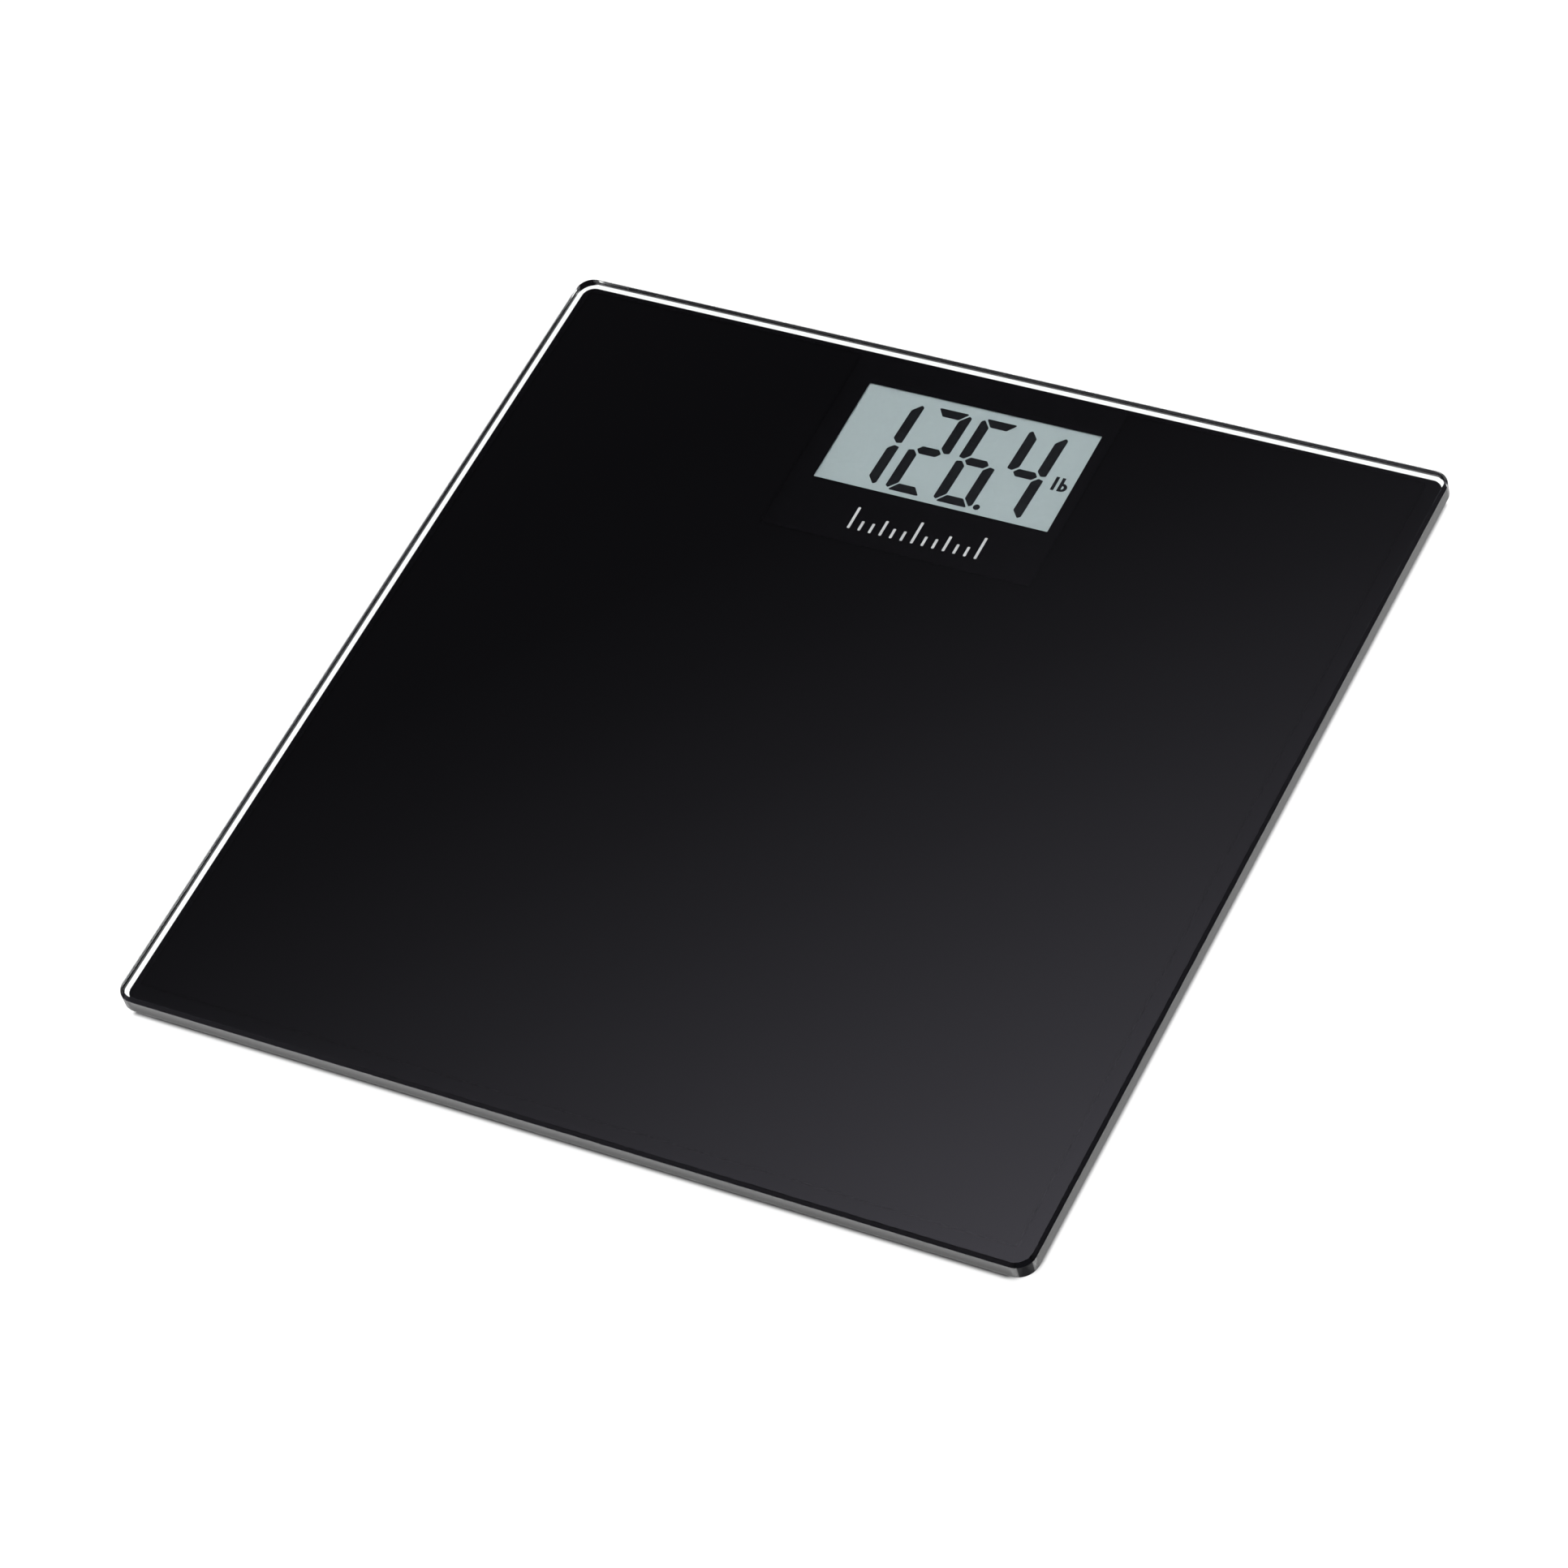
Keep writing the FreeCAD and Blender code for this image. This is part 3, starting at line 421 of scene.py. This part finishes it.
digit_height = 34.9 * MM
digit_width = 13.2 * MM
digit_pitch = 16.45 * MM
stroke_across = 3.5 * MM
stroke_along = 3.1 * MM
stroke_gap = 0.32 * MM
digit_slant = math.tan(math.radians(2.0))
reading_centre = window_centre + Vector((0.0, -0.5 * MM, 0.0))
last_digit_x = 23.3 * MM
ink_thickness = 0.04 * MM
ink_base = lcd_face + 0.01 * MM

digit_rounding = 0.35 * MM
point_offset = Vector((14.5 * MM, -16.3 * MM, 0.0))
point_radius = 1.1 * MM

# the segments that each digit of the reading lights, lettered clockwise from the top with g across
SEGMENTS_LIT = {"1": "bc", "2": "abged", "6": "afgedc", "4": "fgbc"}


def segment_outlines():
    """The seven segments' outlines about a digit's centre, mitred where they meet."""
    right = digit_width / 2
    top = digit_height / 2
    across = stroke_across
    along = stroke_along
    gap = stroke_gap
    middle = along / 2
    upright = [
        (right, middle * 0.35 + gap),
        (right, top - along * 0.35 - gap),
        (right - across * 0.28, top - gap * 2.2),
        (right - across, top - along - gap),
        (right - across, middle + gap * 2.0),
        (right - across * 0.5, gap * 1.4),
    ]
    cap = [
        (right - across * 0.45 - gap, top),
        (-right + across * 0.45 + gap, top),
        (-right + across * 0.45, top - gap),
        (-right + across + gap, top - along),
        (right - across - gap, top - along),
        (right - across * 0.45, top - gap),
    ]
    bar = [
        (right - across * 0.62 - gap, 0.0),
        (right - across - gap, middle),
        (-right + across + gap, middle),
        (-right + across * 0.62 + gap, 0.0),
        (-right + across + gap, -middle),
        (right - across - gap, -middle),
    ]

    def flipped(outline, x=1, y=1):
        turned = [(px * x, py * y) for px, py in outline]
        return turned if x * y > 0 else turned[::-1]

    return {
        "a": cap,
        "b": upright,
        "c": flipped(upright, y=-1),
        "d": flipped(cap, y=-1),
        "e": flipped(upright, x=-1, y=-1),
        "f": flipped(upright, x=-1),
        "g": bar,
    }


def raised_outline(bm, points, base, height):
    """A flat-topped solid on an outline."""
    lower = [bm.verts.new((x, y, base)) for x, y in points]
    face = bm.faces.new(lower)
    face.normal_update()
    if face.normal.z > 0:
        face.normal_flip()
    grown = bmesh.ops.extrude_face_region(bm, geom=[face])
    upper = [item for item in grown["geom"] if isinstance(item, bmesh.types.BMVert)]
    bmesh.ops.translate(bm, vec=(0, 0, height), verts=upper)


def bmesh_piece(name, bm, material, smooth=False):
    bmesh.ops.recalc_face_normals(bm, faces=bm.faces)
    mesh = bpy.data.meshes.new(name)
    bm.to_mesh(mesh)
    bm.free()
    mesh.materials.append(material)
    for polygon in mesh.polygons:
        polygon.use_smooth = smooth
    piece = bpy.data.objects.new(name, mesh)
    bpy.context.scene.collection.objects.link(piece)
    return piece


def rounded_polygon(points, radius, steps=3):
    """The outline with each corner cut by a short curve."""
    rounded = []
    count = len(points)
    for index in range(count):
        corner = Vector(points[index])
        before = Vector(points[index - 1])
        after = Vector(points[(index + 1) % count])
        reach_in = min(radius, (before - corner).length * 0.45)
        reach_out = min(radius, (after - corner).length * 0.45)
        start = corner + (before - corner).normalized() * reach_in
        end = corner + (after - corner).normalized() * reach_out
        for step in range(steps + 1):
            t = step / steps
            spot = start * (1 - t) ** 2 + corner * 2 * t * (1 - t) + end * t * t
            rounded.append((spot.x, spot.y))
    return rounded


def lcd_digits(text, material):
    bm = bmesh.new()
    outlines = segment_outlines()
    for place, digit in enumerate(reversed(text)):
        centre_x = reading_centre.x + last_digit_x - place * digit_pitch
        for name in SEGMENTS_LIT[digit]:
            outline = rounded_polygon(outlines[name], digit_rounding)
            points = [
                (centre_x + x + y * digit_slant, reading_centre.y + y)
                for x, y in outline
            ]
            raised_outline(bm, points, ink_base, ink_thickness)
    piece = bmesh_piece("lcd_digits", bm, material)
    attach(piece, PLATFORM)
    return piece


def circle(centre_x, centre_y, radius, steps=20):
    return [
        (
            centre_x + radius * math.cos(2 * math.pi * i / steps),
            centre_y + radius * math.sin(2 * math.pi * i / steps),
        )
        for i in range(steps)
    ]


def lcd_point_and_unit(material):
    """The decimal point and the small unit mark, lb."""
    bm = bmesh.new()
    point = reading_centre + point_offset
    raised_outline(bm, circle(point.x, point.y, point_radius), ink_base, ink_thickness)
    stroke = 1.1 * MM
    tall = 5.4 * MM
    bowl = 3.3 * MM
    left = window_centre.x + 33.2 * MM
    foot = window_centre.y - 3.9 * MM
    for stem_x in (left, left + 2.1 * MM):
        stem = [
            (stem_x, foot),
            (stem_x + stroke, foot),
            (stem_x + stroke, foot + tall),
            (stem_x, foot + tall),
        ]
        raised_outline(bm, stem, ink_base, ink_thickness)
    bowl_x = left + 2.1 * MM + stroke
    bowl_y = foot + bowl / 2
    outer = bowl / 2
    inner = outer - stroke * 0.85
    turns = 14
    ring = [
        (bowl_x + outer * 1.1 * math.sin(math.pi * i / turns), bowl_y + outer * math.cos(math.pi * i / turns))
        for i in range(turns + 1)
    ]
    ring += [
        (bowl_x + inner * math.sin(math.pi * i / turns), bowl_y + inner * math.cos(math.pi * i / turns))
        for i in range(turns, -1, -1)
    ]
    raised_outline(bm, ring, ink_base, ink_thickness)
    piece = bmesh_piece("lcd_point_and_unit", bm, material)
    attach(piece, PLATFORM)
    return piece


# ---------------------------------------------------------------- generic graduation mark

mark_centre = Vector((1.6 * MM, 84.2 * MM, 0.0))
tick_pitch = 3.6 * MM
tick_count = 13
tick_width = 0.9 * MM
long_tick = 8.6 * MM
middle_tick = 6.0 * MM
short_tick = 3.8 * MM
tick_rounding = 0.25 * MM
tick_sink = 0.01 * MM
tick_thickness = 0.02 * MM


def graduation_ticks(material):
    """A short row of graduation lines under the display, as on a rule."""
    bm = bmesh.new()
    low = print_high.z + enamel_overlap
    foot = mark_centre.y - long_tick / 2
    for index in range(tick_count):
        place = index - tick_count // 2
        x = mark_centre.x + place * tick_pitch
        height = long_tick if place % 6 == 0 else middle_tick if place % 3 == 0 else short_tick
        half = tick_width / 2
        corners = [(x - half, foot), (x + half, foot), (x + half, foot + height), (x - half, foot + height)]
        raised_outline(bm, rounded_polygon(corners, tick_rounding), low - tick_sink, tick_thickness)
    piece = bmesh_piece("graduation_ticks", bm, material)
    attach(piece, PLATFORM)
    return piece


# ---------------------------------------------------------------- silicone cushions


def cushion(corner, material):
    """A soft domed disc between the load cell's tongue and the pod."""
    name = "cushion_" + corner
    low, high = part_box(name)
    centre = (low + high) / 2
    radius = (high.x - low.x) / 2
    height = high.z - low.z
    around = 40
    lower_half = [(0.72, 0.0), (0.9, 0.06), (0.985, 0.22)]
    upper_half = [(share, 1.0 - level) for share, level in reversed(lower_half)]
    profile = [*lower_half, (1.0, 0.5), *upper_half]
    bm = bmesh.new()
    rings = []
    for share, level in profile:
        ring = []
        for step in range(around):
            angle = 2 * math.pi * step / around
            x = centre.x + radius * share * math.cos(angle)
            y = centre.y + radius * share * math.sin(angle)
            ring.append(bm.verts.new((x, y, low.z + height * level)))
        rings.append(ring)
    for lower, upper in zip(rings, rings[1:]):
        for step in range(around):
            after = (step + 1) % around
            bm.faces.new((lower[step], lower[after], upper[after], upper[step]))
    bm.faces.new(list(reversed(rings[0])))
    bm.faces.new(rings[-1])
    piece = bmesh_piece("silicone_" + corner, bm, material, smooth=True)
    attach(piece, PLATFORM)
    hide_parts(name)
    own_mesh(piece)
    return piece


# ---------------------------------------------------------------- finishes of the frame's own parts


def simple(name, color, other, roughness, grain=4000.0, depth=0.01, specular=0.5):
    finish = Finish(name, color, roughness, specular=specular)
    finish.mottle(finish.noise(120.0), other)
    finish.vary_roughness(finish.noise(700.0), 0.06)
    finish.bump(finish.noise(grain, 3.0), depth * MM)
    return finish.material


def glass_thin():
    finish = Finish("display_glass", (0.95, 0.98, 0.97), 0.02, ior=1.5)
    finish.set("Transmission Weight", 1.0)
    finish.bump(finish.noise(60.0), 0.001 * MM)
    return finish.material


def black_plastic(name, color, worn):
    """The matt, grained plastic of everything under the glass."""
    return moulded(name, color, worn, roughness=0.85, grain=5200.0, depth=0.03, specular=0.1)


def board_material():
    """Green solder mask over copper tracks."""
    finish = Finish("board_laminate", (0.012, 0.085, 0.035), 0.28)
    tracks = finish.waves(260.0, "DIAGONAL")
    finish.mottle(tracks, (0.02, 0.14, 0.055), 0.45, 0.55)
    finish.bump(tracks, 0.02 * MM)
    finish.vary_roughness(finish.noise(400.0), 0.08)
    return finish.material


def frame_finishes():
    return {
        "foam_tape": simple("foam_tape", (0.02, 0.02, 0.02), (0.032, 0.032, 0.032), 0.9, 5000.0, 0.06),
        "housing_plastic": black_plastic("housing_plastic", (0.016, 0.016, 0.017), (0.022, 0.022, 0.023)),
        "pod_plastic": black_plastic("pod_plastic", (0.015, 0.015, 0.016), (0.021, 0.021, 0.022)),
        "foot_plastic": black_plastic("foot_plastic", (0.019, 0.019, 0.020), (0.026, 0.026, 0.027)),
        "rubber_pad": simple("rubber_pad", (0.055, 0.055, 0.058), (0.085, 0.084, 0.083), 0.85, 2600.0, 0.06),
        "spring_steel": metal("spring_steel", (0.55, 0.54, 0.52), (0.42, 0.41, 0.39), 0.32, (1.0, 12.0, 1.0)),
        "gauge_sealant": simple("gauge_sealant", (0.62, 0.60, 0.54), (0.52, 0.50, 0.44), 0.5, 900.0, 0.08),
        "screw_steel": metal("screw_steel", (0.52, 0.50, 0.46), (0.34, 0.33, 0.31), 0.35),
        "gasket_foam": simple("gasket_foam", (0.03, 0.03, 0.03), (0.05, 0.05, 0.05), 0.95, 5000.0, 0.08),
        "lcd_reflector": metal("lcd_reflector", (0.75, 0.77, 0.78), (0.65, 0.67, 0.68), 0.4),
        "holder_plastic": moulded("holder_plastic", (0.62, 0.62, 0.60), (0.54, 0.54, 0.52), 0.45),
        "elastomer": simple("elastomer", (0.30, 0.30, 0.31), (0.12, 0.12, 0.13), 0.6, 9000.0, 0.02),
        "board_laminate": board_material(),
        "chip_resin": simple("chip_resin", (0.012, 0.012, 0.013), (0.02, 0.02, 0.021), 0.5, 6000.0),
        "component_body": simple("component_body", (0.30, 0.21, 0.12), (0.22, 0.15, 0.09), 0.4, 3000.0),
        "button_plastic": moulded("button_plastic", (0.50, 0.51, 0.52), (0.42, 0.43, 0.44), 0.4),
        "coin_cell_steel": metal("coin_cell_steel", (0.70, 0.69, 0.66), (0.58, 0.57, 0.54), 0.22),
        "contact_bronze": metal("contact_bronze", (0.74, 0.62, 0.40), (0.62, 0.50, 0.30), 0.28),
        "lead_insulation": simple("lead_insulation", (0.45, 0.03, 0.025), (0.36, 0.02, 0.02), 0.45, 900.0),
        "tape_film": simple("tape_film", (0.045, 0.045, 0.045), (0.07, 0.07, 0.07), 0.4, 400.0, 0.03),
        "display_glass": glass_thin(),
    }


def dress_frame(finishes):
    """Gives each of the frame's own parts the finish of its material slot."""
    for part in frame["record"]["subparts"]:
        node = frame["nodes"][part["node"]]
        if node.hide_render:
            continue
        material = finishes[part["material_slot"]]
        node.data.materials.clear()
        node.data.materials.append(material)


# ---------------------------------------------------------------- stage, light and camera


FLOOR_HALF = 4.0


def floor():
    half = FLOOR_HALF
    piece = mesh_piece(
        "floor",
        [(-half, -half, 0.0), (half, -half, 0.0), (half, half, 0.0), (-half, half, 0.0)],
        [(0, 1, 2, 3)],
        [floor_paper()],
    )


# The paper's glow is shaped round the platform, not worked out from the lamps: it stands for the bright
# ground that the glass edge shows, and for the shade under the object.
FAR_GLOW = 1.00
NEAR_GLOW = 2.50
SHADE_GLOW = 0.02
# painted light and shade: in front and at the right the paper grows brighter with the distance from the
# platform
GLOW_START = 9.0 * MM
GLOW_FULL = 11.5 * MM
SHADE_FAR = 153.5 * MM
SHADE_RIGHT = 143.8 * MM
SHADE_FRONT = 142.9 * MM
SHADE_CORNER = 280.5 * MM
SHADE_BLUR = 2.0 * MM


def floor_paper():
    """White paper that glows evenly, with painted light brighter to the front and right, and a painted shade
    where the object would shade it.
    """
    finish = Finish("floor_paper", (0.10, 0.10, 0.10), 0.9, specular=0.0)
    finish.mottle(finish.noise(3.0), (0.09, 0.09, 0.09))
    finish.set("Emission Color", (1.0, 1.0, 1.0, 1.0))
    apart = finish.add("ShaderNodeSeparateXYZ")
    finish.link(finish.coordinates, apart.inputs["Vector"])
    forward = finish.add("ShaderNodeMath", operation="MULTIPLY")
    forward.inputs[1].default_value = -1.0
    finish.link(apart.outputs["Y"], forward.inputs[0])
    reach = finish.math("MAXIMUM", apart.outputs["X"], forward.outputs["Value"])
    # painted light: the glow rises from FAR_GLOW to NEAR_GLOW going out to the front and right
    glow = finish.spread(
        reach, FAR_GLOW, NEAR_GLOW, platform_half + GLOW_START, platform_half + GLOW_FULL
    )
    # painted shade under the object: inside this box the glow falls to SHADE_GLOW, with its front right
    # corner cut off
    shade = finish.box_mask(-SHADE_FAR, SHADE_RIGHT, -SHADE_FRONT, SHADE_FAR, SHADE_BLUR)
    diagonal = finish.math("ADD", apart.outputs["X"], forward.outputs["Value"])
    cut_off = finish.spread(diagonal, 1.0, 0.0, SHADE_CORNER - SHADE_BLUR, SHADE_CORNER + SHADE_BLUR)
    shade = finish.math("MULTIPLY", shade, cut_off)
    lit = finish.math("MULTIPLY", glow, finish.spread(shade, 1.0, SHADE_GLOW, 0.0, 1.0))
    finish.link(lit, finish.shader.inputs["Emission Strength"])
    # the paper hides nothing from below, and lets the lamp beneath it light the underside
    beneath = finish.add("ShaderNodeNewGeometry").outputs["Backfacing"]
    shadow = finish.add("ShaderNodeLightPath").outputs["Is Shadow Ray"]
    through = finish.math("MAXIMUM", beneath, shadow)
    finish.link(finish.spread(through, 1.0, 0.0, 0.0, 1.0), finish.shader.inputs["Alpha"])
    return finish.material


SOFTBOX_AXIS = Vector((0.1, 0.0, 1.0)).normalized()
SKY_TINT = Vector((1.03, 1.0, 1.16))

# The studio is a soft ring of light. Places are cosines of the angle from its axis, each with the
# brightness there: the walls below the ring, then its inner edge and the dark middle.
WALLS = ((0.0, 0.75), (0.25, 0.50), (0.45, 0.15), (0.62, 0.06))
MIDDLE = ((0.782, 1.20), (0.805, 0.30), (0.83, 0.08), (1.0, 0.06))
# the ring's outer edge grows from dark to full as a power of the way across it
EDGE_START = 0.665
EDGE_FULL = 0.778
EDGE_DARK = 0.06
EDGE_BRIGHT = 1.20
EDGE_POWER = 2.2
EDGE_STEPS = 8


def sky_levels():
    """The brightness of the studio from the horizon to the ring's axis."""
    edge = []
    for step in range(EDGE_STEPS + 1):
        share = step / EDGE_STEPS
        place = EDGE_START + (EDGE_FULL - EDGE_START) * share
        edge.append((place, EDGE_DARK + (EDGE_BRIGHT - EDGE_DARK) * share ** EDGE_POWER))
    return (*WALLS, *edge, *MIDDLE)


def studio_light():
    world = bpy.data.worlds.new("studio")
    bpy.context.scene.world = world
    world.use_nodes = True
    tree = world.node_tree
    nodes = tree.nodes
    coordinates = nodes.new("ShaderNodeTexCoord")
    towards = nodes.new("ShaderNodeVectorMath")
    towards.operation = "DOT_PRODUCT"
    towards.inputs[1].default_value = SOFTBOX_AXIS
    tree.links.new(coordinates.outputs["Generated"], towards.inputs[0])
    ramp = nodes.new("ShaderNodeValToRGB")
    elements = ramp.color_ramp.elements
    levels = sky_levels()
    brightest = max(level for _, level in levels)
    # a ramp keeps its stops in order of place, so each new one is made where it belongs
    elements[0].position = levels[0][0]
    elements[1].position = levels[-1][0]
    for place, _ in levels[1:-1]:
        elements.new(place)
    for element, (_, level) in zip(elements, levels):
        element.color = (*(SKY_TINT * (level / brightest)), 1.0)
    tree.links.new(towards.outputs["Value"], ramp.inputs["Fac"])
    background = nodes["Background"]
    background.inputs["Strength"].default_value = brightest
    tree.links.new(ramp.outputs["Color"], background.inputs["Color"])


SOFTBOX_SIZE = 1.6
SOFTBOX_X = 0.1


def softbox(name, height, energy):
    """A large soft lamp. The one over the object doesn't mirror in the glass."""
    data = bpy.data.lights.new(name, "AREA")
    data.shape = "SQUARE"
    data.size = SOFTBOX_SIZE
    data.energy = energy
    lamp = bpy.data.objects.new(name, data)
    lamp.location = (SOFTBOX_X, 0.0, height)
    if height < 0:
        lamp.rotation_euler = (math.pi, 0.0, 0.0)
    lamp.visible_glossy = height < 0
    lamp.visible_camera = False
    bpy.context.scene.collection.objects.link(lamp)


def camera():
    """The photograph's viewpoint: above the front right corner, a little rolled."""
    target = Vector((0.0075, -0.0173, 0.0190))
    distance = 1.6915
    azimuth = math.radians(40.53)
    elevation = math.radians(49.07)
    roll = math.radians(-17.92)
    back = Vector((
        math.sin(azimuth) * math.cos(elevation),
        -math.cos(azimuth) * math.cos(elevation),
        math.sin(elevation),
    ))
    level_right = Vector((math.cos(azimuth), math.sin(azimuth), 0.0))
    level_up = back.cross(level_right)
    right = level_right * math.cos(roll) + level_up * math.sin(roll)
    up = back.cross(right)
    data = bpy.data.cameras.new("camera")
    data.sensor_width = 36.0
    data.lens = 132.9
    data.clip_start = 0.05
    data.clip_end = 50.0
    holder = bpy.data.objects.new("camera", data)
    bpy.context.scene.collection.objects.link(holder)
    turned = Matrix((right, up, back)).transposed().to_4x4()
    holder.matrix_world = Matrix.Translation(target + back * distance) @ turned
    bpy.context.scene.camera = holder


# ---------------------------------------------------------------- putting it together

camera()
studio_light()
softbox("overhead_softbox", 1.5, 36.0)
softbox("fill_softbox", -1.5, 40.0)
floor()
bpy.context.scene.view_settings.view_transform = "Standard"

glass_platform(plate_glass(), polished_edge())
enamel_layer(enamel())
ink = lcd_ink_dark()
lcd_digits("1264", ink)
lcd_point_and_unit(ink)
graduation_ticks(white_enamel())

finishes = frame_finishes()
silicone = simple("silicone", (0.75, 0.75, 0.74), (0.66, 0.66, 0.65), 0.5)
for corner in CORNERS:
    cushion(corner, silicone)
finishes["lcd_face"] = lcd_face_film()
dress_frame(finishes)
